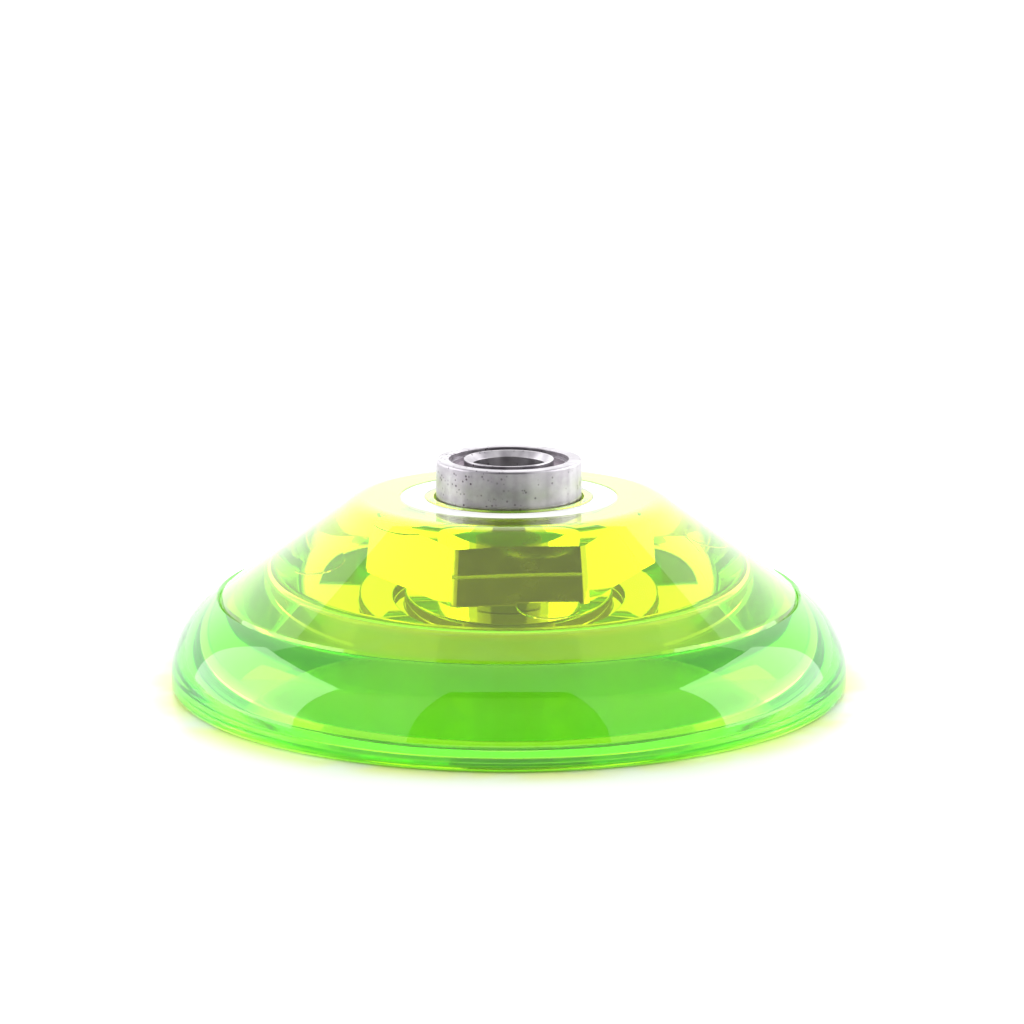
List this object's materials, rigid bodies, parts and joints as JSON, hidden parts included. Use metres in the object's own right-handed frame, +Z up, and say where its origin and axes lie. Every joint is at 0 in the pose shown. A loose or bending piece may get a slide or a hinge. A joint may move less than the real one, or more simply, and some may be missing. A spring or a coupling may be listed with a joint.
{
  "type": "ball-bearing yo-yo half",
  "caption": "Half of a take-apart yo-yo in clear lime plastic, resting on its rim, with a hexagonal metal hub, a soft response ring and a shielded ball bearing on top.",
  "frame": {"origin": "on the axle's line, in the plane of the rim's face that the half rests on", "axes": "+Z up the axle from the cup side to the bearing; X and Y across the rim"},
  "size_m": [0.0594, 0.0594, 0.0199],
  "materials": {
    "clear_lime": "polished transparent fluorescent lime plastic",
    "clear_lime_rim": "polished transparent fluorescent lime-green plastic",
    "hub_metal": "machined, seen through the plastic",
    "silicone": "matt white silicone",
    "bearing_steel": "ground steel with small pits",
    "cage_steel": "pressed steel",
    "shield_steel": "stamped steel",
    "spring_steel": "drawn wire",
    "ball_steel": "polished"
  },
  "bodies": {
    "half": {"body_shell": "clear_lime", "rim_ring": "clear_lime_rim", "hub_insert": "hub_metal", "response_pad": "silicone", "bearing_inner_race": "bearing_steel"},
    "bearing_outer": {"bearing_outer_race": "bearing_steel", "upper_shield": "shield_steel", "lower_shield": "shield_steel", "upper_snap_ring": "spring_steel", "lower_snap_ring": "spring_steel"},
    "cage": {"bearing_cage": "cage_steel"},
    "ball_body_1": {"ball_1": "ball_steel"},
    "ball_body_2": {"ball_2": "ball_steel"},
    "ball_body_3": {"ball_3": "ball_steel"},
    "ball_body_4": {"ball_4": "ball_steel"},
    "ball_body_5": {"ball_5": "ball_steel"},
    "ball_body_6": {"ball_6": "ball_steel"},
    "ball_body_7": {"ball_7": "ball_steel"},
    "ball_body_8": {"ball_8": "ball_steel"}
  },
  "joints": [
    {"name": "bearing_spin", "type": "hinge", "parent": "half", "child": "bearing_outer", "pos_m": [0, 0, 0.01747], "axis": [0, 0, 1], "continuous": true},
    {"name": "cage_spin", "type": "hinge", "parent": "half", "child": "cage", "pos_m": [0, 0, 0.01747], "axis": [0, 0, 1], "continuous": true},
    {"name": "ball_1_roll", "type": "hinge", "parent": "cage", "child": "ball_body_1", "pos_m": [0.00476, 0, 0.01747], "axis": [0, 0, 1], "continuous": true},
    {"name": "ball_2_roll", "type": "hinge", "parent": "cage", "child": "ball_body_2", "pos_m": [0.00337, 0.00337, 0.01747], "axis": [0, 0, 1], "continuous": true},
    {"name": "ball_3_roll", "type": "hinge", "parent": "cage", "child": "ball_body_3", "pos_m": [0, 0.00476, 0.01747], "axis": [0, 0, 1], "continuous": true},
    {"name": "ball_4_roll", "type": "hinge", "parent": "cage", "child": "ball_body_4", "pos_m": [-0.00337, 0.00337, 0.01747], "axis": [0, 0, 1], "continuous": true},
    {"name": "ball_5_roll", "type": "hinge", "parent": "cage", "child": "ball_body_5", "pos_m": [-0.00476, 0, 0.01747], "axis": [0, 0, 1], "continuous": true},
    {"name": "ball_6_roll", "type": "hinge", "parent": "cage", "child": "ball_body_6", "pos_m": [-0.00337, -0.00337, 0.01747], "axis": [0, 0, 1], "continuous": true},
    {"name": "ball_7_roll", "type": "hinge", "parent": "cage", "child": "ball_body_7", "pos_m": [0, -0.00476, 0.01747], "axis": [0, 0, 1], "continuous": true},
    {"name": "ball_8_roll", "type": "hinge", "parent": "cage", "child": "ball_body_8", "pos_m": [0.00337, -0.00337, 0.01747], "axis": [0, 0, 1], "continuous": true}
  ],
  "couplings": [
    {"joint": "cage_spin", "follows": "bearing_spin", "ratio": 0.58333},
    {"joint": "ball_1_roll", "follows": "bearing_spin", "ratio": 2.9167},
    {"joint": "ball_2_roll", "follows": "bearing_spin", "ratio": 2.9167},
    {"joint": "ball_3_roll", "follows": "bearing_spin", "ratio": 2.9167},
    {"joint": "ball_4_roll", "follows": "bearing_spin", "ratio": 2.9167},
    {"joint": "ball_5_roll", "follows": "bearing_spin", "ratio": 2.9167},
    {"joint": "ball_6_roll", "follows": "bearing_spin", "ratio": 2.9167},
    {"joint": "ball_7_roll", "follows": "bearing_spin", "ratio": 2.9167},
    {"joint": "ball_8_roll", "follows": "bearing_spin", "ratio": 2.9167}
  ]
}
